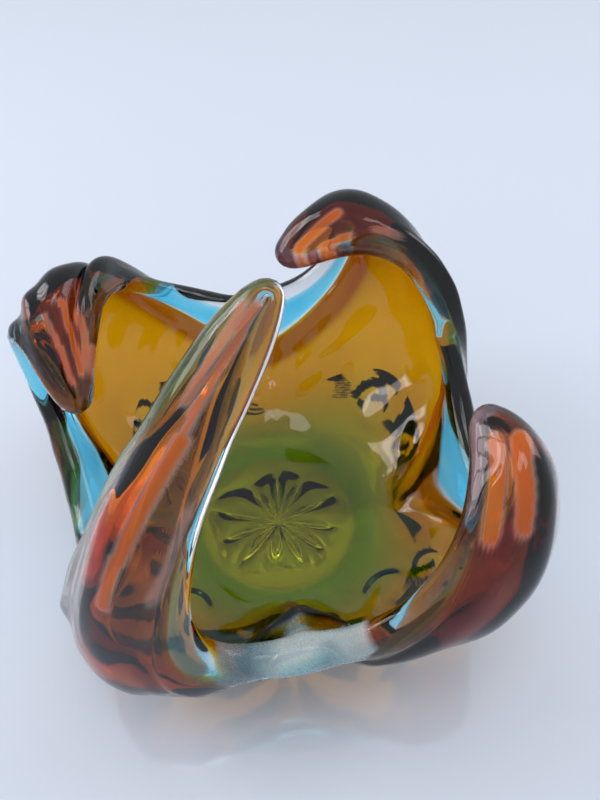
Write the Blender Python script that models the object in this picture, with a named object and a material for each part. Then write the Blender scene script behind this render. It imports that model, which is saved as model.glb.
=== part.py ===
"""Hot-worked art glass bowl: four drawn, inward-curling lobes over a thick star foot.

The wall is one freeform sheet of glass built up in layers.  The sheet is described by
32 spokes that run from the base to the rim: seven for every lobe and one for every dip of
the rim between two lobes.  Smooth closed curves through the spokes give the sheet, the
two faces of the wall lie on either side of it, and every layer of glass is a slice of
that wall.  Lengths are millimetres until the mesh is written, the base rests on z = 0.
"""
import math

import bmesh
import bpy
import numpy as np

MM = 0.001

# wall
BASE_THICKNESS = 16.0
BASE_RADIUS = 44.0
WALL_HALF = 5.6
DIP_HALF = 8.0
TIP_HALF = 6.4
LAYER_GAP = 0.3

# resolution: the sheet is worked out finely, the layers keep every few rings and columns
STEPS_PER_SPOKE = 4
SHEET_RINGS = 41
RING_STRIDE = 4
COLUMN_STRIDE = 2
RIM_STEPS = 4
FLOOR_RINGS = 2
SHEET_BLUR = 24
SMOOTHING = 0.7
REGROWTH = 0.4
FACE_BLUR = 8
RELAX_PASSES = 60
FOLD_LIMIT = 0.25

# Every lobe: stations (radius, height, azimuth in degrees) of its middle line from the
# base to the tip, then half width and depth of its channel on either side of that line,
# its roll in degrees and how far along the line each of its seven spokes reaches.
LOW_WIDTH = (0.0, 28.0, 50.0)
LOW_DEPTH = (0.0, 3.0, 8.0)
LOBES = {
    "back_right": {
        "line": ((0, 8, 50), (42, 9, 50), (76, 22, 50), (105, 50, 51),
                 (122, 90, 54), (127, 125, 60), (113, 139, 73), (96, 108, 90)),
        "width": ((46, 35, 35, 27, 18), (50, 42, 37, 27, 18)),
        "depth": ((11, 11, 10, 8, 4), (10, 8, 7, 6, 4)),
        "roll": (0, 0, 0, 0, -12, -22, -24, -22),
        "reach": (0.57, 0.78, 0.95, 1.0, 0.95, 0.80, 0.60),
    },
    "back_left": {
        "line": ((0, 8, 140), (42, 9, 140), (76, 22, 140), (107, 50, 142),
                 (127, 88, 146), (127, 123, 148), (114, 126, 158), (94, 84, 174)),
        "width": ((48, 38, 31, 23, 14), (46, 34, 27, 20, 13)),
        "depth": ((9, 7, 6, 6, 4), (9.6, 9.6, 8, 6.4, 3.2)),
        "roll": (0, 0, 0, 0, 0, 0, -8, -15),
        "reach": (0.55, 0.77, 0.95, 1.0, 0.95, 0.80, 0.57),
    },
    "front_left": {
        "line": ((0, 8, 232), (42, 9, 232), (76, 22, 233), (116, 36, 236),
                 (120, 74, 236), (103, 126, 238), (70, 174, 248), (33, 218, 287)),
        "width": ((37, 29, 20, 15, 13), (28, 22, 17, 14, 12)),
        "depth": ((12, 14, 12, 8, 3), (10, 13, 13, 8, 3)),
        "roll": (0, 0, 0, 0, 0, 0, 0, 0),
        "reach": (0.50, 0.74, 0.94, 1.0, 0.94, 0.72, 0.52),
    },
    "front_right": {
        "line": ((0, 8, 320), (42, 9, 320), (76, 22, 320), (104, 40, 320),
                 (126, 69, 321), (127, 103, 327), (112, 132, 336), (87, 127, 348)),
        "width": ((38, 33, 27, 21, 15), (42, 34, 26, 20, 15)),
        "depth": ((12, 22, 28, 21, 10), (10, 10, 10, 8, 4)),
        "roll": (0, 0, 0, 0, 0, 0, 0, 0),
        "reach": (0.53, 0.75, 0.94, 1.0, 0.94, 0.76, 0.57),
    },
}
# The dip of the rim that follows each lobe: azimuth in degrees, radius, height.
DIPS = ((97, 103, 46), (195, 77, 48), (277, 88, 44), (361, 85, 46))
# Rise of the wall under a dip: share of the dip radius, share of the dip height.
DIP_PROFILE = ((0.0, 0.16), (0.42, 0.17), (0.62, 0.32), (0.76, 0.50),
               (0.86, 0.68), (0.93, 0.82), (0.97, 0.92), (1.0, 1.0))
# Where the seven spokes of a lobe lie across its width, at the base and at the rim.
BASE_SHARES = (-1.0, -0.67, -0.33, 0.0, 0.33, 0.67, 1.0)
RIM_SHARES = (-1.0, -0.80, -0.46, 0.0, 0.46, 0.80, 1.0)
# Round lower bowl that the spokes grow out of: radius and height against v.
FIRST_AZIMUTH = 14.0
ROUND_START = 0.16
ROUND_END = 0.46
ROUND_RADIUS = 92.0
ROUND_HEIGHT = 38.0

# Layers: share of the wall from its outer face (0) to its inner face (1), first on the
# floor and then on the drawn wall.
CASING_SHARE = (0.30, 0.34)
BLUE_SHARE = (0.45, 0.60)
AMBER_SHARE = (0.82, 0.74)
HEART_RING = 16

# star pressed up into the foot
STAR_RAYS = 10
POINTS_PER_RAY = 6
STAR_HUB = 5.0
STAR_RADIUS = 36.0
STAR_DEPTH = 1.8
STAR_RINGS = (5.0, 9.0, 15.0, 23.0, 31.0, 36.0, 40.0)

# colour, roughness, share of the light let through
GLASS = {
    "star_foot": ((0.62, 0.80, 0.42), 0.03, 0.75),
    "clear_casing": ((0.86, 0.93, 0.95), 0.03, 0.90),
    "blue_layer": ((0.10, 0.55, 0.85), 0.04, 0.60),
    "green_heart": ((0.24, 0.52, 0.05), 0.04, 0.60),
    "orange_veil": ((0.80, 0.20, 0.03), 0.04, 0.50),
    "amber_liner": ((0.80, 0.46, 0.06), 0.03, 0.50),
}
GLASS_INDEX = 1.5


def spline(points, t):
    """Smooth curve through evenly spaced points, t running from 0 to 1."""
    pts = np.asarray(points, float)
    if pts.ndim == 1:
        pts = pts[:, None]
    last = len(pts) - 1
    pos = np.clip(np.asarray(t, float), 0.0, 1.0) * last
    i = np.minimum(pos.astype(int), last - 1)
    f = (pos - i)[:, None]
    p1, p2 = pts[i], pts[i + 1]
    p0 = np.where((i == 0)[:, None], 2 * p1 - p2, pts[np.maximum(i - 1, 0)])
    p3 = np.where((i == last - 1)[:, None], 2 * p2 - p1, pts[np.minimum(i + 2, last)])
    a = -p0 + 3 * p1 - 3 * p2 + p3
    b = 2 * p0 - 5 * p1 + 4 * p2 - p3
    return 0.5 * (2 * p1 + (p2 - p0) * f + b * f * f + a * f ** 3)


def closed_spline(values, steps):
    """Values along a smooth closed curve through the given ones, steps per interval."""
    count = len(values)
    flat = values.reshape(count, -1)
    eye = np.eye(count)
    matrix = 4 * eye + np.roll(eye, 1, 1) + np.roll(eye, -1, 1)
    slope = np.linalg.solve(matrix, 3 * (np.roll(flat, -1, 0) - np.roll(flat, 1, 0)))
    after, slope_after = np.roll(flat, -1, 0), np.roll(slope, -1, 0)
    rows = []
    for i in range(count):
        for k in range(steps):
            f = k / steps
            rows.append((2 * f ** 3 - 3 * f * f + 1) * flat[i]
                        + (f ** 3 - 2 * f * f + f) * slope[i]
                        + (3 * f * f - 2 * f ** 3) * after[i]
                        + (f ** 3 - f * f) * slope_after[i])
    return np.array(rows).reshape((count * steps,) + values.shape[1:])


def unit(vectors):
    return vectors / np.maximum(np.linalg.norm(vectors, axis=-1, keepdims=True), 1e-9)


def from_station(radius, height, azimuth):
    angle = math.radians(azimuth)
    return (radius * math.cos(angle), radius * math.sin(angle), height)


def lobe_spoke(lobe, index, v):
    """One of the seven spokes of a lobe, as points for every v from base to rim."""
    side = 0 if BASE_SHARES[index] < 0 else 1
    share = (BASE_SHARES[index] * (1 - v) + RIM_SHARES[index] * v)[:, None]
    t = v * lobe["reach"][index]
    line = [from_station(*station) for station in lobe["line"]]
    middle = spline(line, t)
    ahead = unit(spline(line, t + 0.002) - spline(line, t - 0.002))
    azimuth = np.radians(spline([s[2] for s in lobe["line"]], t) + spline(lobe["roll"], t))
    across = np.hstack((-np.sin(azimuth), np.cos(azimuth), np.zeros_like(azimuth)))
    across = unit(across - np.sum(across * ahead, axis=1, keepdims=True) * ahead)
    inward = np.cross(ahead, across)
    width = spline(LOW_WIDTH + lobe["width"][side], t)
    depth = spline(LOW_DEPTH + lobe["depth"][side], t)
    return middle + across * width * share + inward * depth * share * share


def dip_spoke(dip, v):
    azimuth, radius, height = dip
    return spline([from_station(radius * r, height * h, azimuth) for r, h in DIP_PROFILE], v)


def ease(x):
    x = np.clip(x, 0.0, 1.0)
    return x * x * (3 - 2 * x)


def round_bowl(v, columns):
    """Round lower bowl: rings of evenly spaced points."""
    rise = (v - ROUND_START) / (ROUND_END - ROUND_START)
    radius = BASE_RADIUS + (ROUND_RADIUS - BASE_RADIUS) * rise
    height = BASE_THICKNESS / 2 + (ROUND_HEIGHT - BASE_THICKNESS / 2) * rise ** 2
    angle = math.radians(FIRST_AZIMUTH) + np.arange(columns) * 2 * math.pi / columns
    shape = (len(v), columns)
    return np.stack((radius[:, None] * np.cos(angle), radius[:, None] * np.sin(angle),
                     np.broadcast_to(height[:, None], shape)), axis=-1)


def soften(grid, passes):
    """Smooth the sheet, its rim only along the rim, without shrinking it."""
    grid = grid.copy()
    for index in range(2 * passes):
        around = (np.roll(grid, -1, 1) + np.roll(grid, 1, 1)) / 2 - grid
        along = np.zeros_like(grid)
        along[1:-1] = (grid[:-2] + grid[2:]) / 2 - grid[1:-1]
        shift = (around + along) / 2
        shift[-1] = around[-1]
        shift[0] = 0.0
        grid = grid + shift * (SMOOTHING if index % 2 == 0 else -REGROWTH)
    return grid


def sheet(v, steps):
    """Middle surface of the wall: array [ring, column, xyz]."""
    spokes = []
    for lobe, dip in zip(LOBES.values(), DIPS):
        for index in range(len(BASE_SHARES)):
            spokes.append(lobe_spoke(lobe, index, v))
        spokes.append(dip_spoke(dip, v))
    drawn = closed_spline(np.array(spokes), steps).transpose(1, 0, 2)
    blend = ease((v - ROUND_START) / (ROUND_END - ROUND_START))[:, None, None]
    return soften((1 - blend) * round_bowl(v, drawn.shape[1]) + blend * drawn, SHEET_BLUR)


def half_thickness(v, steps):
    """Half of the wall thickness: thick at the base, at the dips and at the tips."""
    per_lobe = (6.4, WALL_HALF, 6.4, TIP_HALF, 6.4, WALL_HALF, 6.4, DIP_HALF)
    rim = closed_spline(np.array(per_lobe * len(LOBES)), steps)
    low = 1.0 - ease((v - ROUND_START) / (ROUND_END - ROUND_START))[:, None]
    high = np.clip((v - 0.45) / 0.55, 0.0, 1.0)[:, None] ** 1.5
    wall = WALL_HALF + (rim[None, :] - WALL_HALF) * high
    return wall + (BASE_THICKNESS / 2 - wall) * low


def cell_normals(grid):
    """Normal of every cell of a ring grid that closes round the columns."""
    around = np.roll(grid, -1, 1)[:-1] - grid[:-1]
    return np.cross(grid[1:] - grid[:-1], around)


def relax(face, middle):
    """Smooth a face of the wall wherever it would fold over on itself."""
    face = face.copy()
    guide = unit(cell_normals(middle))
    for _ in range(RELAX_PASSES):
        folded = np.sum(unit(cell_normals(face)) * guide, axis=-1) < FOLD_LIMIT
        if not folded.any():
            break
        marked = np.zeros(face.shape[:2], bool)
        marked[:-1] |= folded
        marked[1:] |= folded
        marked |= np.roll(marked, 1, 1)
        marked |= np.roll(marked, -1, 1)
        marked[0] = False
        around = (np.roll(face, 1, 1) + np.roll(face, -1, 1)) / 2
        along = face.copy()
        along[1:-1] = (face[:-2] + face[2:]) / 2
        face[marked] = 0.5 * face[marked] + 0.25 * (around + along)[marked]
    return face


def wall_faces(v, steps):
    """Outer face, inner face and the direction the rim points in."""
    middle = sheet(v, steps)
    along = np.gradient(middle, axis=0)
    around = np.roll(middle, -1, 1) - np.roll(middle, 1, 1)
    inward = unit(np.cross(along, around))
    step = inward * half_thickness(v, steps)[:, :, None]
    for _ in range(FACE_BLUR):
        step = (np.roll(step, 1, 1) + 2 * step + np.roll(step, -1, 1)) / 4
        step[1:-1] = (step[:-2] + 2 * step[1:-1] + step[2:]) / 4
    step[0] = (0.0, 0.0, BASE_THICKNESS / 2)
    outer = relax(middle - step, middle)
    inner = relax(middle + step, middle)
    outer[1:, :, 2] = np.maximum(outer[1:, :, 2], 0.2)
    across = unit(inner[-1] - outer[-1])
    edge = unit(around[-1] - np.sum(around[-1] * across, axis=1, keepdims=True) * across)
    lip = unit(np.cross(across, edge))
    lip = lip * np.sign(np.sum(lip * along[-1], axis=1, keepdims=True))
    return outer, inner, lip


class Wall:
    """The finished wall, ready to be cut into layers."""

    def __init__(self):
        v = np.linspace(ROUND_START, 1.0, SHEET_RINGS)
        outer, inner, lip = wall_faces(v, STEPS_PER_SPOKE)
        self.v = v
        self.outer = outer[:, ::COLUMN_STRIDE]
        self.inner = inner[:, ::COLUMN_STRIDE]
        self.lip = lip[::COLUMN_STRIDE]
        self.rings = list(range(0, SHEET_RINGS, RING_STRIDE))

    def share(self, floor_and_wall, ring):
        """Share of the wall at which a layer ends, at one ring."""
        floor, wall = floor_and_wall
        end = self.v[HEART_RING]
        return floor + (wall - floor) * float(ease((self.v[ring] - ROUND_START)
                                                   / (end - ROUND_START)))

    def ring(self, ring, share, gap, ahead=0.0):
        """Ring of points at a share of the wall, moved inward by a gap."""
        outer, inner = self.outer[ring], self.inner[ring]
        if ahead:
            step = np.linalg.norm(self.outer[ring + 1] - outer, axis=1, keepdims=True)
            outer = outer + (self.outer[ring + 1] - outer) * ahead / step
            inner = inner + (self.inner[ring + 1] - inner) * ahead / step
        across = inner - outer
        return outer + across * share + unit(across) * gap

    def floor(self, share, gap):
        """Rings of the floor from near the middle outward, then the first wall ring."""
        first = self.ring(0, share, gap)
        rings = []
        for k in range(1, FLOOR_RINGS + 1):
            scale = k / (FLOOR_RINGS + 1)
            rings.append(first * (scale, scale, 1.0))
        return rings

    def rim(self, low, high, low_gap, high_gap):
        """Rings that round a layer off at the rim, from share low to share high."""
        last = SHEET_RINGS - 1
        across = self.inner[last] - self.outer[last]
        half = np.linalg.norm(across, axis=1, keepdims=True) / 2
        start = low + low_gap / (2 * half)
        end = high + high_gap / (2 * half)
        rings = []
        first = 0 if low > 0.0 else 1
        stop = RIM_STEPS + 1 if high < 1.0 else RIM_STEPS
        for k in range(first, stop):
            share = start + (end - start) * k / RIM_STEPS
            bulge = np.sqrt(np.clip(1 - (2 * share - 1) ** 2, 0.0, 1.0))
            rings.append(self.outer[last] + across * share + self.lip * half * bulge)
        return rings


def side_of(wall, shares, gap, rings, ahead=0.0):
    """Rings of one side of a layer, from the floor towards the rim."""
    rows = []
    for ring in rings:
        offset = ahead if ring == rings[0] else 0.0
        rows.append(wall.ring(ring, wall.share(shares, ring), gap, offset))
    return rows


def layer_rings(wall, low, high, rings, to_rim, ahead=0.0):
    """Rings round the section of a layer: up its outer side, over the rim, back down."""
    half = LAYER_GAP / 2
    low_gap = half if max(low) > 0.0 else 0.0
    high_gap = -half if min(high) < 1.0 else 0.0
    section = side_of(wall, low, low_gap, rings, ahead)
    if to_rim:
        section += wall.rim(low[1], high[1], low_gap, high_gap)
    section += side_of(wall, high, high_gap, rings, ahead)[::-1]
    return section, (low[0], low_gap), (high[0], high_gap)


def ring_body(name, rings, closed_over):
    """Mesh of a stack of rings: closed over by poles, or round on itself."""
    mesh_data = bmesh.new()
    rows = [[mesh_data.verts.new(point * MM) for point in ring] for ring in rings]
    count = len(rows[0])
    pairs = list(zip(rows[:-1], rows[1:]))
    if not closed_over:
        pairs.append((rows[-1], rows[0]))
    for below, above in pairs:
        for i in range(count):
            j = (i + 1) % count
            a, b, c, d = below[i], below[j], above[j], above[i]
            if (a.co - c.co).length <= (b.co - d.co).length:
                mesh_data.faces.new((a, b, c))
                mesh_data.faces.new((a, c, d))
            else:
                mesh_data.faces.new((a, b, d))
                mesh_data.faces.new((b, c, d))
    if closed_over:
        for row, turned in ((rows[0], True), (rows[-1], False)):
            middle = sum((vert.co for vert in row), row[0].co * 0.0) / count
            pole = mesh_data.verts.new((0.0, 0.0, middle.z))
            for i in range(count):
                j = (i + 1) % count
                corner = (row[j], row[i], pole) if turned else (row[i], row[j], pole)
                mesh_data.faces.new(corner)
    bmesh.ops.recalc_face_normals(mesh_data, faces=mesh_data.faces[:])
    if mesh_data.calc_volume(signed=True) < 0.0:
        bmesh.ops.reverse_faces(mesh_data, faces=mesh_data.faces[:])
    mesh = bpy.data.meshes.new(name)
    mesh_data.to_mesh(mesh)
    mesh_data.free()
    for polygon in mesh.polygons:
        polygon.use_smooth = True
    mesh.set_sharp_from_angle(angle=math.radians(40.0))
    body = bpy.data.objects.new(name, mesh)
    bpy.context.collection.objects.link(body)
    body.data.materials.append(glass(name))
    return body


def glass(name):
    """Glass of one layer."""
    colour, roughness, through = GLASS[name]
    material = bpy.data.materials.new(name)
    material.use_nodes = True
    shader = material.node_tree.nodes["Principled BSDF"]
    shader.inputs["Base Color"].default_value = (*colour, 1.0)
    shader.inputs["Roughness"].default_value = roughness
    shader.inputs["Metallic"].default_value = 0.0
    shader.inputs["IOR"].default_value = GLASS_INDEX
    shader.inputs["Transmission Weight"].default_value = through
    material.diffuse_color = (*colour, 1.0)
    return material


def disc_layer(wall, name, low, high, rings, to_rim):
    """Layer that covers the floor as well: a bowl inside the bowl, or a lens."""
    section, bottom, top = layer_rings(wall, low, high, rings, to_rim)
    rows = wall.floor(*bottom) + section + wall.floor(*top)[::-1]
    return ring_body(name, rows, closed_over=True)


def band_layer(wall, name, low, high, rings, ahead=0.0):
    """Layer that stands on the wall only and runs round it as a closed band."""
    section, _, _ = layer_rings(wall, low, high, rings, True, ahead)
    return ring_body(name, section, closed_over=False)


def star_foot():
    """Thick clear disc under the middle with a star pressed into its underside."""
    count = STAR_RAYS * POINTS_PER_RAY
    angle = np.arange(count) * 2 * math.pi / count
    edge = BASE_RADIUS - LAYER_GAP - 0.05
    top = CASING_SHARE[0] * BASE_THICKNESS - LAYER_GAP / 2
    petal = 1.0 - np.abs(2.0 * ((np.arange(count) / POINTS_PER_RAY) % 1.0) - 1.0)
    rings = []
    for radius in STAR_RINGS + (edge,):
        depth = 0.0
        if STAR_HUB < radius < STAR_RADIUS:
            out = (radius - STAR_HUB) / (STAR_RADIUS - STAR_HUB)
            depth = STAR_DEPTH * math.sin(math.pi * math.sqrt(out))
        height = depth * petal
        rings.append(np.stack((radius * np.cos(angle), radius * np.sin(angle), height), 1))
    for radius in (edge, edge / 2):
        height = np.full(count, top)
        rings.append(np.stack((radius * np.cos(angle), radius * np.sin(angle), height), 1))
    return ring_body("star_foot", rings, closed_over=True)


def build():
    for leftover in list(bpy.data.objects):
        bpy.data.objects.remove(leftover, do_unlink=True)
    wall = Wall()
    heart_rings = [ring for ring in wall.rings if ring <= HEART_RING]
    veil_rings = [ring for ring in wall.rings if ring >= HEART_RING]
    star_foot()
    band_layer(wall, "clear_casing", (0.0, 0.0), CASING_SHARE, wall.rings)
    disc_layer(wall, "blue_layer", CASING_SHARE, BLUE_SHARE, wall.rings, True)
    disc_layer(wall, "green_heart", BLUE_SHARE, AMBER_SHARE, heart_rings, False)
    band_layer(wall, "orange_veil", BLUE_SHARE, AMBER_SHARE, veil_rings, LAYER_GAP)
    disc_layer(wall, "amber_liner", AMBER_SHARE, (1.0, 1.0), wall.rings, True)


build()
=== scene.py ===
"""Looks of the hot-worked art glass bowl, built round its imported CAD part.

The wall of the bowl is worked out again here as in the CAD part, then much finer: a clear
outer glass with real ribs, waves and chill marks, and inside it closed layers of blue,
amber and green glass that colour the light by how far it travels through them. Stains,
orange streaks and frost are point fields of the clear glass, read by its material.
"""
import math

import bmesh
import bpy
import numpy as np
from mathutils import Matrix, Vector


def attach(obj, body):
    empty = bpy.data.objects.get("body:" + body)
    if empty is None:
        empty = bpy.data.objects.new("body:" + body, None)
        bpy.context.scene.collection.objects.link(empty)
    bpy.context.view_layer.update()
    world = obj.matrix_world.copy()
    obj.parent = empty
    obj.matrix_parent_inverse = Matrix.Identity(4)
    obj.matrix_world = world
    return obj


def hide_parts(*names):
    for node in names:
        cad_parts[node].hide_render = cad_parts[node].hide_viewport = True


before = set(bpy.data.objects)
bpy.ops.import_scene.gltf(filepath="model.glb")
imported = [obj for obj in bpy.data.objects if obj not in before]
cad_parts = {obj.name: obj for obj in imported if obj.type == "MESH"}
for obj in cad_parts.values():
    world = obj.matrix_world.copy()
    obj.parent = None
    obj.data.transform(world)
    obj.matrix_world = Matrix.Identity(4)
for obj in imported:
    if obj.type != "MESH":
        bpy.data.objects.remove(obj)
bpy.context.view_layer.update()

MM = 0.001

# ---------------------------------------------------------------- shape, as in the CAD part
BASE_THICKNESS = 16.0
BASE_RADIUS = 44.0
WALL_HALF = 5.6
DIP_HALF = 8.0
TIP_HALF = 6.4
STEPS_PER_SPOKE = 4
SHEET_RINGS = 41
SHEET_BLUR = 24
SMOOTHING = 0.7
REGROWTH = 0.4
FACE_BLUR = 8
RELAX_PASSES = 60
FOLD_LIMIT = 0.25
LOW_WIDTH = (0.0, 28.0, 50.0)
LOW_DEPTH = (0.0, 3.0, 8.0)
LOBES = {
    "back_right": {
        "line": ((0, 8, 50), (42, 9, 50), (76, 22, 50), (105, 50, 51),
                 (122, 90, 54), (127, 125, 60), (113, 139, 73), (96, 108, 90)),
        "width": ((46, 35, 35, 27, 18), (50, 42, 37, 27, 18)),
        "depth": ((11, 11, 10, 8, 4), (10, 8, 7, 6, 4)),
        "roll": (0, 0, 0, 0, -12, -22, -24, -22),
        "reach": (0.57, 0.78, 0.95, 1.0, 0.95, 0.80, 0.60),
    },
    "back_left": {
        "line": ((0, 8, 140), (42, 9, 140), (76, 22, 140), (107, 50, 142),
                 (127, 88, 146), (127, 123, 148), (114, 126, 158), (94, 84, 174)),
        "width": ((48, 38, 31, 23, 14), (46, 34, 27, 20, 13)),
        "depth": ((9, 7, 6, 6, 4), (9.6, 9.6, 8, 6.4, 3.2)),
        "roll": (0, 0, 0, 0, 0, 0, -8, -15),
        "reach": (0.55, 0.77, 0.95, 1.0, 0.95, 0.80, 0.57),
    },
    "front_left": {
        "line": ((0, 8, 232), (42, 9, 232), (76, 22, 233), (116, 36, 236),
                 (120, 74, 236), (103, 126, 238), (70, 174, 248), (33, 218, 287)),
        "width": ((37, 29, 20, 15, 13), (28, 22, 17, 14, 12)),
        "depth": ((12, 14, 12, 8, 3), (10, 13, 13, 8, 3)),
        "roll": (0, 0, 0, 0, 0, 0, 0, 0),
        "reach": (0.50, 0.74, 0.94, 1.0, 0.94, 0.72, 0.52),
    },
    "front_right": {
        "line": ((0, 8, 320), (42, 9, 320), (76, 22, 320), (104, 40, 320),
                 (126, 69, 321), (127, 103, 327), (112, 132, 336), (87, 127, 348)),
        "width": ((38, 33, 27, 21, 15), (42, 34, 26, 20, 15)),
        "depth": ((12, 22, 28, 21, 10), (10, 10, 10, 8, 4)),
        "roll": (0, 0, 0, 0, 0, 0, 0, 0),
        "reach": (0.53, 0.75, 0.94, 1.0, 0.94, 0.76, 0.57),
    },
}
DIPS = ((97, 103, 46), (195, 77, 48), (277, 88, 44), (361, 85, 46))
DIP_PROFILE = ((0.0, 0.16), (0.42, 0.17), (0.62, 0.32), (0.76, 0.50),
               (0.86, 0.68), (0.93, 0.82), (0.97, 0.92), (1.0, 1.0))
BASE_SHARES = (-1.0, -0.67, -0.33, 0.0, 0.33, 0.67, 1.0)
RIM_SHARES = (-1.0, -0.80, -0.46, 0.0, 0.46, 0.80, 1.0)
FIRST_AZIMUTH = 14.0
ROUND_START = 0.16
ROUND_END = 0.46
ROUND_RADIUS = 92.0
ROUND_HEIGHT = 38.0

# ---------------------------------------------------------------- fineness of the looks
FINE_ALONG = 4
FINE_AROUND = 3
COLUMNS_PER_SPOKE = STEPS_PER_SPOKE * FINE_AROUND
RIM_STEPS = 12
FLOOR_RINGS = 40
LAYER_RINGS = 90
LAYER_FLOOR_RINGS = 11
STREAK_POINTS = 72

# ---------------------------------------------------------------- relief, lengths in mm
# Spokes are numbered round the bowl: seven on every lobe, then the dip after it.
SPOKES = 32.0
SPOKES_PER_LOBE = 8.0
MIDDLE_SPOKE = 3.0
FRONT_LEFT = 2
FRONT_DIP = 23.1
DIP_SPOKES = (7.0, 15.0, 23.0, 31.0)
# The star pressed up into the foot.
STAR_RAYS = 11
STAR_HUB = 2.0
STAR_RADIUS = 35.0
STAR_DEPTH = 5.6
# Seed and wavelength of the waves in the glass.
SLOW_WAVES = (3, 62.0)
MID_WAVES = (5, 26.0)
FINE_WAVES = (8, 11.0)
FLOOR_WAVES = (21, 40.0)
LOW_WAVES = (31, 36.0)
FROST_WAVES = (41, 15.0)
# Number, height and phase of the ribs on every lobe.
RIBS = ((1.7, 0.5, 0.4), (2.6, 0.4, 1.1), (1.9, 0.45, 2.2), (2.2, 0.5, 0.6))
# How far the rim leans out at every spoke.
LEAN = (8.0, 5.0, 0.0, 0.0, 0.0, 0.0, 2.0, 3.5,
        5.0, 2.0, 0.0, 0.0, 0.0, 5.0, 8.0, 6.0,
        1.0, 0.0, 0.0, 0.0, 0.0, 0.0, 1.0, 2.0,
        0.0, 0.0, 0.0, 0.0, 0.0, 0.0, 3.0, 5.0)
# How far the front dip swells up behind its lip.
SPOUT_LIFT = 19.0
# Spoke, height along the wall, radius and depth of the hollows under the bowl.
DENTS = ((2.9, 0.35, 16.0, 2.3), (1.2, 0.36, 10.0, 2.0), (11.5, 0.385, 13.0, 2.2),
         (19.2, 0.28, 12.0, 2.2), (27.1, 0.30, 14.0, 2.4), (28.3, 0.37, 11.0, 2.2),
         (13.0, 0.26, 9.0, 1.6), (24.6, 0.33, 9.0, 1.8))
# Spoke, start along the wall, height, width and upper marks of the folds at the dips.
FOLDS = ((7.4, 0.34, 3.4, 7.0, 0.0), (31.9, 0.27, 3.6, 7.0, 0.15),
         (23.1, 0.24, 6.0, 9.0, 0.9), (15.0, 0.40, 1.6, 8.0, 0.0))
# The notch in the front lip: spoke, half width and depth.
NOTCH = (23.05, 1.3, 1.0)
# The frosted patch on the front lip: spoke, half length and depth below the rim.
FROST_PATCH = (22.95, 38.0, 16.0)

# ---------------------------------------------------------------- glass
# How strongly a metre of every glass absorbs red, green and blue.
CLEAR_GLASS = (1.6, 0.5, 0.7)
BLUE_GLASS = (300.0, 60.0, 16.0)
AMBER_GLASS = (30.0, 148.0, 820.0)
GREEN_GLASS = (100.0, 40.0, 380.0)
# Height of the lower and upper face of every layer in the floor, in mm.
BLUE_FLOOR = (7.2, 8.0)
AMBER_FLOOR = (11.3, 13.7)
GREEN_FLOOR = (8.8, 10.2)
# Greatest thickness of the amber lining in the wall, in mm.
AMBER_LIMIT = 7.6
# Tints of the clear glass, and the colours around the bowl.
WHITE = (1.0, 1.0, 1.0, 1.0)
STAIN_TINT = (0.15, 0.045, 0.05, 1.0)
EMBER_TINT = (0.20, 0.022, 0.012, 1.0)
GLOW_TINT = (0.86, 0.17, 0.002, 1.0)
ICE_TINT = (0.22, 0.76, 1.0, 1.0)
FROST_TINT = (0.84, 0.97, 0.96, 1.0)
TABLE_TONES = ((0.66, 0.72, 0.82, 1.0), (0.70, 0.755, 0.845, 1.0))
SKY_COLOUR = (0.86, 0.92, 1.0, 1.0)
WINDOW_TINT = (1.0, 0.95, 0.97)


def spline(points, t):
    """Smooth curve through evenly spaced points, t running from 0 to 1."""
    pts = np.asarray(points, float)
    if pts.ndim == 1:
        pts = pts[:, None]
    last = len(pts) - 1
    pos = np.clip(np.asarray(t, float), 0.0, 1.0) * last
    i = np.minimum(pos.astype(int), last - 1)
    f = (pos - i)[:, None]
    p1, p2 = pts[i], pts[i + 1]
    p0 = np.where((i == 0)[:, None], 2 * p1 - p2, pts[np.maximum(i - 1, 0)])
    p3 = np.where((i == last - 1)[:, None], 2 * p2 - p1, pts[np.minimum(i + 2, last)])
    a = -p0 + 3 * p1 - 3 * p2 + p3
    b = 2 * p0 - 5 * p1 + 4 * p2 - p3
    return 0.5 * (2 * p1 + (p2 - p0) * f + b * f * f + a * f ** 3)


def closed_spline(values, steps):
    """Values along a smooth closed curve through the given ones, steps per interval."""
    count = len(values)
    flat = values.reshape(count, -1)
    eye = np.eye(count)
    matrix = 4 * eye + np.roll(eye, 1, 1) + np.roll(eye, -1, 1)
    slope = np.linalg.solve(matrix, 3 * (np.roll(flat, -1, 0) - np.roll(flat, 1, 0)))
    after, slope_after = np.roll(flat, -1, 0), np.roll(slope, -1, 0)
    rows = []
    for i in range(count):
        for k in range(steps):
            f = k / steps
            rows.append((2 * f ** 3 - 3 * f * f + 1) * flat[i]
                        + (f ** 3 - 2 * f * f + f) * slope[i]
                        + (3 * f * f - 2 * f ** 3) * after[i]
                        + (f ** 3 - f * f) * slope_after[i])
    return np.array(rows).reshape((count * steps,) + values.shape[1:])


def unit(vectors):
    return vectors / np.maximum(np.linalg.norm(vectors, axis=-1, keepdims=True), 1e-9)


def from_station(radius, height, azimuth):
    angle = math.radians(azimuth)
    return (radius * math.cos(angle), radius * math.sin(angle), height)


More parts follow.
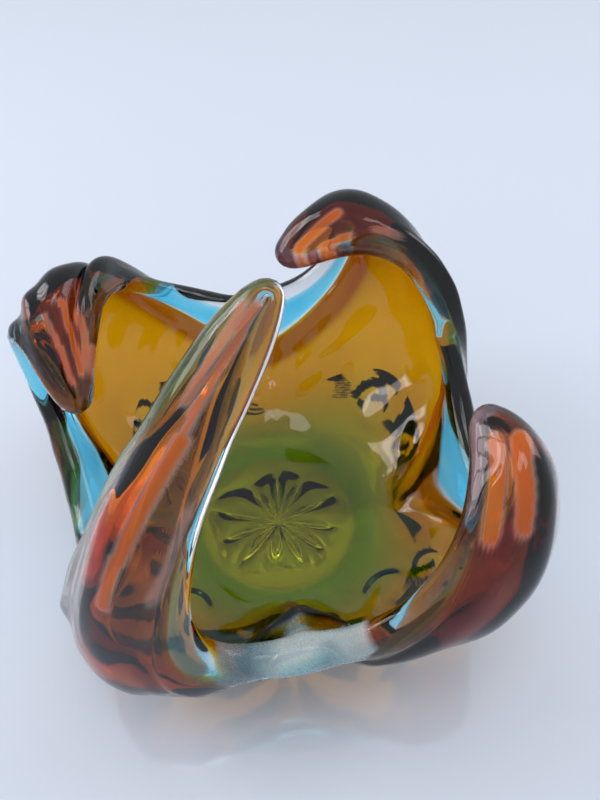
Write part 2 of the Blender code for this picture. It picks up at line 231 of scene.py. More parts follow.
def lobe_spoke(lobe, index, v):
    """One of the seven spokes of a lobe, as points for every v from base to rim."""
    side = 0 if BASE_SHARES[index] < 0 else 1
    share = (BASE_SHARES[index] * (1 - v) + RIM_SHARES[index] * v)[:, None]
    t = v * lobe["reach"][index]
    line = [from_station(*station) for station in lobe["line"]]
    middle = spline(line, t)
    ahead = unit(spline(line, t + 0.002) - spline(line, t - 0.002))
    azimuth = np.radians(spline([s[2] for s in lobe["line"]], t) + spline(lobe["roll"], t))
    across = np.hstack((-np.sin(azimuth), np.cos(azimuth), np.zeros_like(azimuth)))
    across = unit(across - np.sum(across * ahead, axis=1, keepdims=True) * ahead)
    inward = np.cross(ahead, across)
    width = spline(LOW_WIDTH + lobe["width"][side], t)
    depth = spline(LOW_DEPTH + lobe["depth"][side], t)
    return middle + across * width * share + inward * depth * share * share


def dip_spoke(dip, v):
    azimuth, radius, height = dip
    return spline([from_station(radius * r, height * h, azimuth) for r, h in DIP_PROFILE], v)


def ease(x):
    x = np.clip(x, 0.0, 1.0)
    return x * x * (3 - 2 * x)


def round_bowl(v, columns):
    """Round lower bowl: rings of evenly spaced points."""
    rise = (v - ROUND_START) / (ROUND_END - ROUND_START)
    radius = BASE_RADIUS + (ROUND_RADIUS - BASE_RADIUS) * rise
    height = BASE_THICKNESS / 2 + (ROUND_HEIGHT - BASE_THICKNESS / 2) * rise ** 2
    angle = math.radians(FIRST_AZIMUTH) + np.arange(columns) * 2 * math.pi / columns
    shape = (len(v), columns)
    return np.stack((radius[:, None] * np.cos(angle), radius[:, None] * np.sin(angle),
                     np.broadcast_to(height[:, None], shape)), axis=-1)


def soften(grid, passes):
    """Smooth the sheet, its rim only along the rim, without shrinking it."""
    grid = grid.copy()
    for index in range(2 * passes):
        around = (np.roll(grid, -1, 1) + np.roll(grid, 1, 1)) / 2 - grid
        along = np.zeros_like(grid)
        along[1:-1] = (grid[:-2] + grid[2:]) / 2 - grid[1:-1]
        shift = (around + along) / 2
        shift[-1] = around[-1]
        shift[0] = 0.0
        grid = grid + shift * (SMOOTHING if index % 2 == 0 else -REGROWTH)
    return grid


def sheet(v, steps):
    """Middle surface of the wall: array [ring, column, xyz]."""
    spokes = []
    for lobe, dip in zip(LOBES.values(), DIPS):
        for index in range(len(BASE_SHARES)):
            spokes.append(lobe_spoke(lobe, index, v))
        spokes.append(dip_spoke(dip, v))
    drawn = closed_spline(np.array(spokes), steps).transpose(1, 0, 2)
    blend = ease((v - ROUND_START) / (ROUND_END - ROUND_START))[:, None, None]
    return soften((1 - blend) * round_bowl(v, drawn.shape[1]) + blend * drawn, SHEET_BLUR)


def half_thickness(v, steps):
    """Half of the wall thickness: thick at the base, at the dips and at the tips."""
    per_lobe = (6.4, WALL_HALF, 6.4, TIP_HALF, 6.4, WALL_HALF, 6.4, DIP_HALF)
    rim = closed_spline(np.array(per_lobe * len(LOBES)), steps)
    low = 1.0 - ease((v - ROUND_START) / (ROUND_END - ROUND_START))[:, None]
    high = np.clip((v - 0.45) / 0.55, 0.0, 1.0)[:, None] ** 1.5
    wall = WALL_HALF + (rim[None, :] - WALL_HALF) * high
    return wall + (BASE_THICKNESS / 2 - wall) * low


def cell_normals(grid):
    """Normal of every cell of a ring grid that closes round the columns."""
    around = np.roll(grid, -1, 1)[:-1] - grid[:-1]
    return np.cross(grid[1:] - grid[:-1], around)


def relax(face, middle):
    """Smooth a face of the wall wherever it would fold over on itself."""
    face = face.copy()
    guide = unit(cell_normals(middle))
    for _ in range(RELAX_PASSES):
        folded = np.sum(unit(cell_normals(face)) * guide, axis=-1) < FOLD_LIMIT
        if not folded.any():
            break
        marked = np.zeros(face.shape[:2], bool)
        marked[:-1] |= folded
        marked[1:] |= folded
        marked |= np.roll(marked, 1, 1)
        marked |= np.roll(marked, -1, 1)
        marked[0] = False
        around = (np.roll(face, 1, 1) + np.roll(face, -1, 1)) / 2
        along = face.copy()
        along[1:-1] = (face[:-2] + face[2:]) / 2
        face[marked] = 0.5 * face[marked] + 0.25 * (around + along)[marked]
    return face


def wall_faces(v, steps):
    """Outer face, inner face and the direction the rim points in."""
    middle = sheet(v, steps)
    along = np.gradient(middle, axis=0)
    around = np.roll(middle, -1, 1) - np.roll(middle, 1, 1)
    inward = unit(np.cross(along, around))
    step = inward * half_thickness(v, steps)[:, :, None]
    for _ in range(FACE_BLUR):
        step = (np.roll(step, 1, 1) + 2 * step + np.roll(step, -1, 1)) / 4
        step[1:-1] = (step[:-2] + 2 * step[1:-1] + step[2:]) / 4
    step[0] = (0.0, 0.0, BASE_THICKNESS / 2)
    outer = relax(middle - step, middle)
    inner = relax(middle + step, middle)
    outer[1:, :, 2] = np.maximum(outer[1:, :, 2], 0.2)
    across = unit(inner[-1] - outer[-1])
    edge = unit(around[-1] - np.sum(around[-1] * across, axis=1, keepdims=True) * across)
    lip = unit(np.cross(across, edge))
    lip = lip * np.sign(np.sum(lip * along[-1], axis=1, keepdims=True))
    return outer, inner, lip


# ---------------------------------------------------------------- the fine wall
def finer_along(grid, steps):
    """Grid with extra rings between the rings, on smooth curves along the columns."""
    rings = grid.shape[0]
    t = np.linspace(0.0, 1.0, (rings - 1) * steps + 1)
    flat = spline(grid.reshape(rings, -1), t)
    return flat.reshape((len(t),) + grid.shape[1:])


def finer_around(grid, steps):
    """Grid with extra columns between the columns."""
    if grid.ndim == 2:
        return closed_spline(grid, steps)
    return closed_spline(grid.transpose(1, 0, 2), steps).transpose(1, 0, 2)


def bump(x, middle, width):
    """Bell of height one round a middle value."""
    return np.exp(-((x - middle) / width) ** 2)


def wrapped(difference, span):
    """Shortest signed difference on a closed scale."""
    return (difference + span / 2) % span - span / 2


def around(values):
    """A value per spoke, read for every fine column."""
    return closed_spline(np.array(values), COLUMNS_PER_SPOKE)[None, :]


class Noise:
    """Smooth repeatable noise in space: a sum of waves with seeded directions."""

    def __init__(self, seed, wavelength, waves=14):
        rng = np.random.default_rng(seed)
        direction = unit(rng.normal(size=(waves, 3)))
        self.pull = direction * (2 * math.pi / wavelength) * rng.uniform(0.6, 1.5, (waves, 1))
        self.phase = rng.uniform(0, 2 * math.pi, waves)
        self.scale = 1.0 / math.sqrt(waves / 2)

    def __call__(self, points):
        return np.sin(points @ self.pull.T + self.phase).sum(axis=-1) * self.scale


class Wall:
    """Fine wall with its relief, and for every point where it lies on the bowl."""

    def __init__(self):
        v = np.linspace(ROUND_START, 1.0, SHEET_RINGS)
        outer, inner, lip = wall_faces(v, STEPS_PER_SPOKE)
        self.outer = finer_along(finer_around(outer, FINE_AROUND), FINE_ALONG)
        self.inner = finer_along(finer_around(inner, FINE_AROUND), FINE_ALONG)
        self.lip = unit(finer_around(lip, FINE_AROUND))
        self.v = np.linspace(ROUND_START, 1.0, self.outer.shape[0])[:, None]
        columns = self.outer.shape[1]
        self.spoke = (np.arange(columns) / COLUMNS_PER_SPOKE)[None, :]
        self.lobe = np.floor(self.spoke / SPOKES_PER_LOBE)
        self.place = self.spoke - SPOKES_PER_LOBE * self.lobe - MIDDLE_SPOKE
        middle = (self.outer + self.inner) / 2
        run = np.linalg.norm(np.diff(middle, axis=0), axis=-1)
        self.run = np.vstack((np.zeros((1, columns)), np.cumsum(run, axis=0)))
        self.to_rim = self.run[-1] - self.run
        self.relief()
        self.lean_out()

    def near(self, spoke, width):
        """How near every column is to a spoke number, one on it."""
        return bump(wrapped(self.spoke - spoke, SPOKES), 0.0, width)

    def aside(self, spoke):
        """Distance round every ring from a spoke number, in mm."""
        place = (self.outer + self.inner) / 2
        step = np.linalg.norm(np.roll(place, -1, 1) - place, axis=-1)
        run = np.hstack((np.zeros((len(step), 1)), np.cumsum(step, axis=1)))
        index = np.append(self.spoke[0], SPOKES)
        start = np.array([np.interp(spoke % SPOKES, index, row) for row in run])
        return wrapped(run[:, :-1] - start[:, None], run[:, -1:])

    def dent(self, spoke, height, radius):
        """One inside a round patch of the wall, falling to zero at its edge."""
        column = int(round(spoke * COLUMNS_PER_SPOKE)) % self.run.shape[1]
        along = np.interp(height, self.v[:, 0], self.run[:, column])
        reach = np.hypot(self.aside(spoke), self.run - along) / radius
        return 1.0 - ease((reach - 0.45) / 0.55)

    def waves_outside(self, thick):
        """Height of the waves, ribs and hollows of the outer face."""
        wall = ease((self.v - 0.24) / 0.2)
        rise = 0.45 * Noise(*SLOW_WAVES)(self.outer) * wall
        rise = rise + 0.16 * Noise(*MID_WAVES)(self.outer) * wall
        high = ease((self.v - 0.55) / 0.25)
        for index, (count, height, phase) in enumerate(RIBS):
            on = (self.lobe == index) * bump(self.place, 0.0, 2.4)
            turn = count * self.place * 1.9 + phase + 0.5 * np.sin(6.0 * self.v + index)
            rise = rise + height * on * high * np.cos(turn)
        for spoke, height, radius, depth in DENTS:
            rise = rise - depth * self.dent(spoke, height, radius)
        return np.clip(rise, -0.22 * thick, 0.16 * thick)

    def waves_inside(self, thick):
        """Height of the waves of the inner face."""
        wall = ease((self.v - 0.24) / 0.2)
        ends = 1.0 - ease((self.v - 0.93) / 0.07)
        rise = 0.70 * Noise(*SLOW_WAVES)(self.inner + 40.0) * wall
        rise = rise + 0.30 * Noise(*MID_WAVES)(self.inner - 25.0) * wall
        low = 0.7 * bump(self.v, 0.36, 0.12) * Noise(*LOW_WAVES)(self.inner)
        return np.clip(rise * ends + low, -0.16 * thick, 0.16 * thick)

    def folds(self, thick):
        """Height of the folds at the dips, and how strongly the tool has chilled them."""
        rise, chill = np.zeros_like(self.to_rim), np.zeros_like(self.to_rim)
        for spoke, start, height, width, marks in FOLDS:
            aside = self.aside(spoke)
            crest = np.exp(-(np.sqrt(aside ** 2 + 1.5) - 1.22) / width)
            grown = ease((self.v - start) / 0.14) * (1.0 - 0.55 * ease((self.v - 0.80) / 0.20))
            rise = rise + np.minimum(height, 0.9 * thick) * crest * grown
            nose = bump(self.v, start + 0.10, 0.09) + marks * bump(self.v, 0.62, 0.30)
            chill = np.maximum(chill, np.clip(nose, 0, 1) * bump(aside, 0.0, 6.5))
        return rise, chill

    def relief(self):
        """Waves, ribs, folds and chill marks, as real movement of the two faces."""
        thick = np.linalg.norm(self.inner - self.outer, axis=-1)
        out = -unit(self.inner - self.outer)
        rise = self.waves_outside(thick)
        fold, self.chill = self.folds(thick)
        rise_in = self.waves_inside(thick) + fold
        slow, mid, fine = Noise(*SLOW_WAVES), Noise(*MID_WAVES), Noise(*FINE_WAVES)
        creases = np.sin(self.to_rim * 1.7 + 2.2 * mid(self.inner) + 3.0 * slow(self.inner))
        creases = creases * (0.4 + 0.6 * fine(self.inner) ** 2)
        rise_in = rise_in + self.chill * 0.30 * creases
        spoke, width, depth = NOTCH
        notch = bump(self.aside(spoke), 0.0, width) * bump(self.to_rim, 12.0, 14.0)
        rise_in = rise_in - depth * notch
        spoke, length, depth = FROST_PATCH
        reach = np.clip(1.0 - (self.aside(spoke) / length) ** 2, 0.0, 1.0)
        self.frost = 1.0 - ease((self.to_rim - depth * np.sqrt(reach) + 3.0) / 3.0)
        self.outer = self.outer + out * rise[..., None]
        self.inner = self.inner - out * rise_in[..., None]
        self.thick = np.linalg.norm(self.inner - self.outer, axis=-1)

    def lean_out(self):
        """Lean the rim out at the dips, and swell the front dip up behind its lip."""
        lean = np.maximum(around(LEAN), 0.0) * ease((self.v - 0.66) / 0.34)
        spout = 1.0 - ease((np.abs(self.aside(FRONT_DIP)) - 10.0) / 26.0)
        lift = SPOUT_LIFT * bump(self.v, 0.72, 0.18) * spout
        for face in (self.outer, self.inner):
            away = unit(face * (1.0, 1.0, 0.0))
            face += away * lean[..., None]
            face[..., 2] += lift

    def at_run(self, field, share):
        """Field read at a share of every column's run."""
        columns = self.run.shape[1]
        parts = []
        for k in range(columns):
            target = share[:, k] * self.run[-1, k]
            column = field[:, k]
            if column.ndim == 1:
                parts.append(np.interp(target, self.run[:, k], column))
            else:
                parts.append(np.stack([np.interp(target, self.run[:, k], column[:, c])
                                       for c in range(column.shape[1])], axis=-1))
        return np.stack(parts, axis=1)


# ---------------------------------------------------------------- mesh
def body_from_rings(name, rings, fields=None):
    """Closed mesh of a stack of rings with a pole at either end, and its point fields."""
    stack = np.array(rings)
    rows, count = stack.shape[:2]
    points = stack.reshape(-1, 3)
    poles = np.stack((stack[0].mean(axis=0), stack[-1].mean(axis=0)))
    points = np.vstack((points, poles)) * MM
    row = np.arange(rows - 1)[:, None]
    here = np.arange(count)[None, :]
    after = (here + 1) % count
    quads = np.stack((row * count + here, row * count + after,
                      (row + 1) * count + after, (row + 1) * count + here), axis=-1)
    faces = [tuple(q) for q in quads.reshape(-1, 4).tolist()]
    first, last = rows * count, rows * count + 1
    top = (rows - 1) * count
    for i in range(count):
        j = (i + 1) % count
        faces.append((j, i, first))
        faces.append((top + i, top + j, last))
    mesh = bpy.data.meshes.new(name)
    mesh.from_pydata(points.tolist(), [], faces)
    work = bmesh.new()
    work.from_mesh(mesh)
    if work.calc_volume(signed=True) < 0.0:
        bmesh.ops.reverse_faces(work, faces=work.faces[:])
    work.to_mesh(mesh)
    work.free()
    for polygon in mesh.polygons:
        polygon.use_smooth = True
    for key, rows_of_field in (fields or {}).items():
        values = np.array(rows_of_field).reshape(-1)
        values = np.append(values, (rows_of_field[0].mean(), rows_of_field[-1].mean()))
        layer = mesh.attributes.new(key, "FLOAT", "POINT")
        layer.data.foreach_set("value", values.astype(np.float32))
    body = bpy.data.objects.new(name, mesh)
    bpy.context.scene.collection.objects.link(body)
    return body


def half_round(low_ring, high_ring, lip, steps):
    """Rings that round off the edge between two rings, leaning out along lip."""
    half = np.linalg.norm(high_ring - low_ring, axis=1, keepdims=True) / 2
    rings = []
    for k in range(1, steps):
        turn = math.pi * k / steps
        share = (1 - math.cos(turn)) / 2
        rings.append(low_ring + (high_ring - low_ring) * share + lip * half * math.sin(turn))
    return rings


def star_height(radius, angle):
    """Height of the star pressed up into the foot."""
    turn = angle * STAR_RAYS / (2 * math.pi)
    turn = turn + 0.16 * np.sin(angle + 0.6) + 0.09 * np.sin(3 * angle + 2.0)
    place = np.abs(2.0 * (turn % 1.0) - 1.0)
    petal = 1.0 - place ** 1.9
    size = 1.0 + 0.10 * np.sin(2.0 * angle + 1.0) + 0.07 * np.sin(5.0 * angle)
    out = np.clip((radius - STAR_HUB) / (STAR_RADIUS * size - STAR_HUB), 0.0, 1.0)
    return STAR_DEPTH * petal * np.minimum(1.0, 2.6 * out) ** 0.8 * (1.0 - out ** 4)


def casing(wall, marks):
    """The clear glass that makes the whole outside of the bowl, foot and floor included.

    Marks are point fields of the outer face; they run over the rim and fade inside it."""
    angle = np.arctan2(wall.outer[0, :, 1], wall.outer[0, :, 0])
    none = np.zeros(len(angle))
    radii = np.linspace(0.0, BASE_RADIUS, FLOOR_RINGS + 1)[1:]
    rings = []
    for radius in radii[:-1]:
        height = star_height(radius, angle)
        rings.append(np.stack((radius * np.cos(angle), radius * np.sin(angle), height), 1))
    rings += list(wall.outer)
    rings += half_round(wall.outer[-1], wall.inner[-1], wall.lip, RIM_STEPS)
    rings += list(wall.inner[::-1])
    swell = Noise(*FLOOR_WAVES)
    for share in (radii / BASE_RADIUS)[:-1][::-1]:
        ring = wall.inner[0] * (share, share, 1.0)
        ring[:, 2] += (-1.6 * (1 - share ** 2) + 0.35 * swell(ring) * (1 - share))
        rings.append(ring)

    def field(outside, rim, inside):
        disc = [none] * (FLOOR_RINGS - 1)
        return disc + list(outside) + [rim] * (RIM_STEPS - 1) + list(inside[::-1]) + disc

    fading = 1.0 - ease(wall.to_rim / 5.0)
    fields = {key: field(values, values[-1], values[-1] * fading)
              for key, values in marks.items()}
    patches = np.clip(0.16 + 0.36 * Noise(*FROST_WAVES)(wall.inner), 0.0, 0.8)
    fields["frost"] = field(wall.frost, wall.frost[-1], wall.frost * patches)
    fields["chill"] = field(np.zeros_like(wall.chill), wall.chill[-1] * 0.3, wall.chill)
    return body_from_rings("casing_glass", rings, fields)


def flat_ring(ring, share, height):
    """Ring drawn in to a share of its size, at one height."""
    return np.column_stack((ring[:, :2] * share, np.full(len(ring), height)))


def layer(wall, name, low, high, stop, floor, top=1.0):
    """Closed layer inside the wall: shares low to high, ending stop mm short of the rim.

    Floor holds the heights of its lower and upper face over the foot."""
    length = wall.run[-1]
    end = np.clip((length - stop) / length, 0.1, 0.999) * top
    grade = 1 - (1 - np.linspace(0.0, 1.0, LAYER_RINGS)) ** 1.25
    share = grade[:, None] * end[None, :]
    outer = wall.at_run(wall.outer, share)
    across = wall.at_run(wall.inner, share) - outer
    low_at = wall.at_run(low, share)
    high_at = wall.at_run(high, share)
    left = (end[None, :] - share) * length[None, :]
    size = np.maximum(np.linalg.norm(across, axis=-1) * (high_at - low_at) / 2, 0.2)
    fade = np.sqrt(np.clip(1 - (1 - np.clip(left / size, 0, 1)) ** 2, 0.0, 1.0))
    middle, half = (low_at + high_at) / 2, (high_at - low_at) / 2 * np.maximum(fade, 0.004)
    down = outer + across * (middle - half)[..., None]
    up = outer + across * (middle + half)[..., None]
    shares = np.linspace(0.0, 1.0, LAYER_FLOOR_RINGS + 2)[1:-1]
    below = [flat_ring(down[0], share, floor[0]) for share in shares]
    above = [flat_ring(up[0], share, floor[1]) for share in shares[::-1]]
    return body_from_rings(name, below + list(down) + list(up[::-1]) + above)


# ---------------------------------------------------------------- materials
def new_material(name):
    material = bpy.data.materials.new(name)
    material.use_nodes = True
    tree = material.node_tree
    return material, tree, tree.nodes["Principled BSDF"], tree.nodes["Material Output"]


def node(tree, kind, **settings):
    made = tree.nodes.new(kind)
    for key, value in settings.items():
        if key in made.inputs.keys():
            made.inputs[key].default_value = value
        else:
            setattr(made, key, value)
    return made


def plug(tree, value, socket):
    """Link another node's output to a socket, or set the socket to a plain value."""
    if isinstance(value, bpy.types.NodeSocket):
        tree.links.new(value, socket)
    else:
        socket.default_value = value


def mix_colour(tree, factor, first, second):
    made = node(tree, "ShaderNodeMix", data_type="RGBA")
    for socket, value in ((0, factor), (6, first), (7, second)):
        plug(tree, value, made.inputs[socket])
    return made.outputs[2]


def calculate(tree, operation, *values):
    made = node(tree, "ShaderNodeMath", operation=operation)
    for socket, value in zip(made.inputs, values):
        plug(tree, value, socket)
    return made.outputs[0]


def spread(tree, value, low, high, low_result, high_result):
    """Value from low to high, spread over the range of the results."""
    made = node(tree, "ShaderNodeMapRange")
    for socket, number in zip(made.inputs, (value, low, high, low_result, high_result)):
        plug(tree, number, socket)
    return made.outputs[0]


def cloud(tree, scale, detail, roughness=0.5):
    """Noise fixed to the object."""
    place = node(tree, "ShaderNodeTexCoord")
    made = node(tree, "ShaderNodeTexNoise", Scale=scale, Detail=detail, Roughness=roughness)
    tree.links.new(place.outputs["Object"], made.inputs["Vector"])
    return made.outputs["Fac"]


def absorption(tree, output, per_metre):
    """Volume that absorbs red, green and blue with these strengths per metre."""
    density = max(per_metre) * 1.02
    volume = tree.nodes.new("ShaderNodeVolumeAbsorption")
    volume.inputs["Density"].default_value = density
    volume.inputs["Color"].default_value = (*(1 - c / density for c in per_metre), 1.0)
    tree.links.new(volume.outputs["Volume"], output.inputs["Volume"])


def clear_glass():
    """The casing: clear, rough where chilled or frosted, tinted and milky where painted."""
    material, tree, shader, output = new_material("clear_glass")
    shader.inputs["Base Color"].default_value = WHITE
    shader.inputs["IOR"].default_value = 1.5
    shader.inputs["Transmission Weight"].default_value = 1.0
    stain, ember, glow, chill, frost = (
        node(tree, "ShaderNodeAttribute", attribute_name=name).outputs["Fac"]
        for name in ("stain", "ember", "glow", "chill", "frost"))
    smear = cloud(tree, 26.0, 2.0)
    grainy = calculate(tree, "ADD", chill, frost)
    grainy = calculate(tree, "MULTIPLY", grainy, cloud(tree, 900.0, 3.0, 0.6))
    plug(tree, spread(tree, grainy, 0.28, 0.62, 0.0, 0.30), shader.inputs["Roughness"])

    patchy = spread(tree, smear, 0.47, 0.62, 0.42, 1.0)
    tint = mix_colour(tree, frost, WHITE, mix_colour(tree, patchy, ICE_TINT, FROST_TINT))
    for amount, colour in ((stain, STAIN_TINT), (ember, EMBER_TINT), (glow, GLOW_TINT)):
        tint = mix_colour(tree, amount, tint, colour)
    plug(tree, tint, shader.inputs["Base Color"])

    milk = calculate(tree, "MAXIMUM", calculate(tree, "MULTIPLY", frost, patchy), glow)
    clear = calculate(tree, "MULTIPLY_ADD", milk, -0.5, 1.0)
    plug(tree, clear, shader.inputs["Transmission Weight"])

    waves = node(tree, "ShaderNodeBump", Strength=0.06, Distance=0.001)
    plug(tree, smear, waves.inputs["Height"])
    plug(tree, waves.outputs["Normal"], shader.inputs["Normal"])
    absorption(tree, output, CLEAR_GLASS)
    return material


def coloured_glass(name, per_metre):
    """Glass of a layer inside the casing: no bending of light at its surface, only colour."""
    material, tree, shader, output = new_material(name)
    shader.inputs["IOR"].default_value = 1.0
    shader.inputs["Roughness"].default_value = 0.0
    shader.inputs["Transmission Weight"].default_value = 1.0
    shader.inputs["Base Color"].default_value = WHITE
    absorption(tree, output, per_metre)
    return material


def table_top():
    material, tree, shader, _ = new_material("table_top")
    tone = mix_colour(tree, cloud(tree, 2.5, 3.0), *TABLE_TONES)
    plug(tree, tone, shader.inputs["Base Color"])
    shader.inputs["Roughness"].default_value = 0.35
    shader.inputs["Coat Weight"].default_value = 1.0
    shader.inputs["Coat Roughness"].default_value = 0.10
    shader.inputs["Coat IOR"].default_value = 2.0
    return material


# ---------------------------------------------------------------- the bowl
# One value per spoke. First, how much of the blue glass shows at the rim.
BLUE_AT_RIM = (1.0, 0.8, 0.0, 0.0, 0.0, 0.2, 1.0, 1.0,
               1.0, 0.6, 0.6, 0.4, 0.1, 0.7, 1.0, 1.0,
               0.8, 0.15, 0.1, 0.05, 0.0, 0.0, 0.4, 0.5,
               0.8, 0.3, 0.1, 0.1, 0.1, 0.2, 0.9, 1.0)
# How far below the rim the amber lining ends, in mm.
AMBER_STOP = (32.0, 17.0, 2.5, 2.5, 2.5, 4.0, 14.0, 23.0,
              18.0, 8.0, 3.0, 3.0, 4.0, 14.0, 28.0, 28.0,
              20.0, 12.0, 12.0, 12.0, 3.0, 2.5, 15.0, 21.0,
              17.0, 5.0, 2.5, 2.5, 2.5, 4.0, 14.0, 25.0)
# How dark the rim is stained.
STAIN = (0.0, 0.4, 1.0, 1.0, 1.0, 0.9, 0.3, 0.0,
         0.1, 0.8, 0.9, 0.8, 0.6, 0.2, 0.0, 0.0,
         0.0, 0.1, 0.1, 0.0, 0.0, 0.0, 0.1, 0.0,
         0.2, 0.8, 0.9, 0.9, 0.9, 0.7, 0.1, 0.0)
# Half width in mm, strength, and the line, as spoke and height, of every orange streak.
STREAKS = (
    (4.0, 1.0, ((26.3, 0.95), (25.9, 0.926), (25.67, 0.915), (25.45, 0.89))),
    (4.4, 1.0, ((26.8, 0.905), (26.42, 0.879), (26.25, 0.848), (26.05, 0.81))),
    (1.9, 0.9, ((19.0, 0.98), (19.08, 0.93), (19.17, 0.895), (19.33, 0.85))),
    (3.2, 1.0, ((19.3, 0.87), (19.33, 0.80), (19.30, 0.75), (19.25, 0.68))),
    (1.8, 0.8, ((18.7, 0.98), (18.75, 0.93), (18.85, 0.89))),
    (2.4, 0.5, ((20.4, 0.93), (20.6, 0.88), (20.5, 0.82))),
    (2.0, 1.0, ((10.55, 0.86), (10.42, 0.926), (10.3, 0.985))),
    (2.0, 0.9, ((9.9, 0.93), (9.85, 0.98), (10.1, 0.995))),
    (1.8, 0.8, ((11.25, 0.88), (11.05, 0.92), (10.95, 0.97))),
    (3.0, 1.0, ((2.5, 0.89), (2.5, 0.94), (2.45, 0.99))),
    (2.4, 1.0, ((1.65, 0.97), (1.95, 0.995))),
    (2.4, 0.6, ((1.5, 0.93), (1.2, 0.94))),
    (3.0, 0.6, ((4.2, 0.90), (4.4, 0.96))),
    (3.0, 0.6, ((12.4, 0.80), (12.1, 0.90))),
    (3.0, 0.6, ((28.0, 0.80), (27.7, 0.90))),
)


def distance(grid, points):
    """Distance of every point of a grid to the nearest of some points."""
    gap = np.full(grid.shape[:2], np.inf)
    for point in points:
        gap = np.minimum(gap, np.linalg.norm(grid - point, axis=-1))
    return gap


def streaks(wall):
    """One along the middle of every orange streak, zero away from them."""
    field = np.zeros_like(wall.to_rim)
    for width, strength, line in STREAKS:
        fine = spline(line, np.linspace(0.0, 1.0, STREAK_POINTS))
        rows = np.interp(fine[:, 1], wall.v[:, 0], np.arange(len(wall.v)))
        columns = fine[:, 0] * COLUMNS_PER_SPOKE
        points = wall.outer[rows.round().astype(int), columns.round().astype(int)]
        gap = distance(wall.outer, points)
        field = np.maximum(field, strength * (1.0 - ease((gap / width - 0.55) / 0.75)))
    return field


def below_edge(wall, stop):
    """Distance of every point of the outer face below the line where the amber ends."""
    length = wall.run[-1]
    edge = wall.at_run(wall.outer, np.clip((length - stop) / length, 0.1, 0.999))[0]
    return distance(wall.outer, edge) * np.sign(wall.to_rim - stop)


def painted_marks(wall, stop):
    """Point fields of the outer face: dark red stain, ember band and orange glow."""
    front_left = wall.lobe == FRONT_LEFT
    middle_of_lobe = 1.0 - ease((np.abs(wall.place - 0.4 * front_left) - 1.8) / 1.0)
    plum = ease((wall.v - 0.50) / 0.24) * middle_of_lobe
    plum = plum * (1.0 - 0.8 * front_left * ease((wall.v - 0.68) / 0.16))
    glow = streaks(wall)
    stain = np.clip(around(STAIN), 0, 1) * (1.0 - ease((wall.to_rim - 6.0) / 14.0))
    stain = np.maximum(stain, 0.85 * plum) * (1.0 - glow)
    past = below_edge(wall, stop)
    ember = 0.9 * ease((past - 1.0) / 3.0) * (1.0 - ease((past - 14.0) / 6.0)) * (1.0 - glow)
    ember = ember * (1.0 - front_left * ease((wall.v - 0.55) / 0.2))
    return {"stain": stain, "ember": ember, "glow": glow}


def build_bowl():
    wall = Wall()
    full = np.ones_like(wall.to_rim)
    dip = np.maximum.reduce([wall.near(spoke, 1.3) for spoke in DIP_SPOKES])
    stop = around(AMBER_STOP)
    low_wall = 1.0 - ease((wall.v - 0.20) / 0.26)

    # blue: a lens in the floor, hardly there in the wall, thick where the rim has no amber
    near_rim = 1.0 - ease((wall.to_rim - np.minimum(stop, 30.0) + 6.0) / 8.0)
    near_rim = near_rim * np.clip(around(BLUE_AT_RIM), 0, 1)
    blue_low = 0.22 * full + 0.04 * low_wall
    blue_high = blue_low + 0.03 + 0.10 * low_wall + (0.34 + 0.10 * dip) * near_rim
    blue = layer(wall, "blue_glass", blue_low, blue_high, 1.4 + 0.8 * dip[0], BLUE_FLOOR)
    blue.data.materials.append(coloured_glass("blue_glass", BLUE_GLASS))

    # the clear casing round everything, with its painted marks
    clear = casing(wall, painted_marks(wall, stop))
    clear.data.materials.append(clear_glass())

    # amber: the lining, which stops short of the rim
    amber_high = 0.965 * full
    amber_low = 0.26 + 0.50 * low_wall + 0.10 * (1.0 - ease((wall.to_rim - stop) / 14.0))
    amber_low = np.maximum(amber_low, blue_low + 0.05 + 0.10 * low_wall)
    amber_low = np.maximum(amber_low, amber_high - AMBER_LIMIT / wall.thick)
    amber = layer(wall, "amber_glass", amber_low, amber_high, stop[0], AMBER_FLOOR)
    amber.data.materials.append(coloured_glass("amber_glass", AMBER_GLASS))

    # green heart: a lens over the star
    heart_low = 0.47 * full
    heart_high = heart_low + 0.08 * (1.0 - ease((wall.v - 0.2) / 0.14))
    heart = layer(wall, "green_glass", heart_low, heart_high, 1.0, GREEN_FLOOR, top=0.30)
    heart.data.materials.append(coloured_glass("green_glass", GREEN_GLASS))

    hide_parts("clear_casing", "star_foot")
    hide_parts("blue_layer")
    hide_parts("amber_liner", "orange_veil")
    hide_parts("green_heart")
    for piece, slot in ((clear, "clear_casing"), (blue, "blue_layer"),
                        (amber, "amber_liner"), (heart, "green_heart")):
        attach(piece, "root")


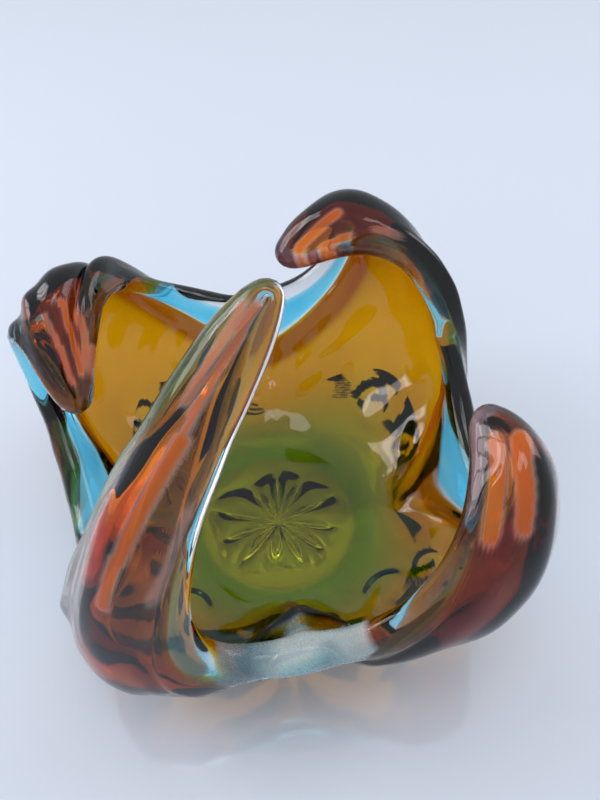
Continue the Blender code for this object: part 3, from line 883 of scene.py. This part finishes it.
# ---------------------------------------------------------------- stage
def build_stage():
    bpy.ops.mesh.primitive_plane_add(size=6.0, location=(0.0, 0.0, -0.0004))
    floor = bpy.context.object
    floor.name = "table"
    floor.data.materials.append(table_top())

    world = bpy.data.worlds.new("studio")
    bpy.context.scene.world = world
    world.use_nodes = True
    sky = world.node_tree.nodes["Background"]
    sky.inputs["Color"].default_value = SKY_COLOUR
    sky.inputs["Strength"].default_value = 0.68


def softbox(name, place, towards, size, power, colour=(1.0, 1.0, 1.0), shine=True):
    light = bpy.data.lights.new(name, "AREA")
    light.shape = "RECTANGLE"
    light.size, light.size_y = size
    light.energy = power
    light.color = colour
    lamp = bpy.data.objects.new(name, light)
    bpy.context.scene.collection.objects.link(lamp)
    lamp.location = place
    lamp.visible_glossy = shine
    lamp.rotation_euler = (Vector(towards) - Vector(place)).to_track_quat("-Z", "Y").to_euler()
    return lamp


def build_lights():
    softbox("overhead", (0.0, 0.5, 1.5), (0.0, 0.1, 0.0), (1.2, 1.2), 3.0, shine=False)
    for side in (-1.0, 1.0):
        softbox("skylight_%s" % ("left" if side < 0 else "right"), (0.16 * side, -0.20, 1.5),
                (0.0, 0.0, 0.0), (0.28, 0.40), 0.9)
    for index in range(6):
        row, column = divmod(index, 2)
        place = (-1.10 - 0.12 * row, 0.10 + 0.42 * column, 0.55 + 0.42 * row)
        softbox("window_%d" % index, place, (0.0, 0.0, 0.08), (0.36, 0.38), 1.5, WINDOW_TINT)
        place = (1.00 + 0.12 * row, 0.40 + 0.42 * column, 0.60 + 0.42 * row)
        softbox("pane_%d" % index, place, (0.0, 0.0, 0.08), (0.36, 0.38), 0.8, WINDOW_TINT)


def build_camera():
    camera = bpy.data.cameras.new("camera")
    camera.sensor_fit = "VERTICAL"
    camera.sensor_height = 24.0
    camera.lens = 22.5
    camera.clip_start = 0.01
    view = bpy.data.objects.new("camera", camera)
    bpy.context.scene.collection.objects.link(view)
    view.location = (0.012, -0.215, 0.367)
    view.rotation_euler = (math.radians(40.0), 0.0, 0.0)
    bpy.context.scene.camera = view


build_bowl()
build_stage()
build_lights()
build_camera()

scene = bpy.context.scene
scene.view_settings.view_transform = "Standard"
scene.cycles.max_bounces = 48
scene.cycles.transmission_bounces = 48
scene.cycles.transparent_max_bounces = 16
scene.cycles.sample_clamp_indirect = 6.0

bpy.context.view_layer.update()
